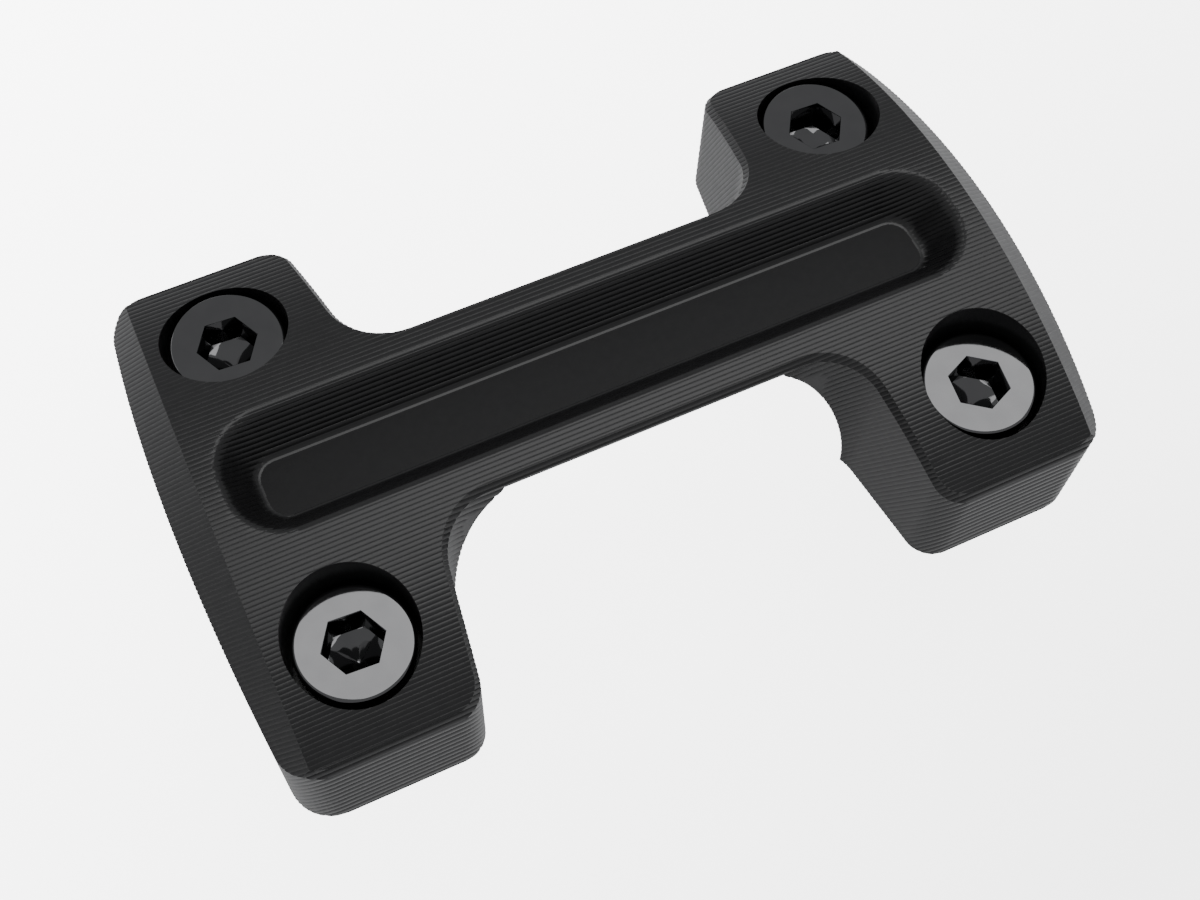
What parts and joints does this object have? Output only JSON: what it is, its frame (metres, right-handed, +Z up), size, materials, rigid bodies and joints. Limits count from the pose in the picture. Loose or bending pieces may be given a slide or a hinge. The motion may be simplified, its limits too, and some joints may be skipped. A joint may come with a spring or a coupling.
{
  "type": "handlebar clamp",
  "caption": "Machined handlebar top clamp with two split arms, a domed crown, a long pocket in the web and socket head bolts sunk in the arms.",
  "frame": {"origin": "on the handlebar axis, at the middle of the clamp", "axes": "+X along the handlebar, +Y towards the rear bolts, +Z up out of the crown"},
  "size_m": [0.1008, 0.0618, 0.0383],
  "materials": {
    "body": "black anodised with fine milling ridges",
    "bolts": "dark polished steel"
  },
  "bodies": {
    "root": {"clamp_body": "body", "bolt_front_left": "bolts", "bolt_front_right": "bolts", "bolt_rear_left": "bolts", "bolt_rear_right": "bolts"}
  },
  "joints": []
}
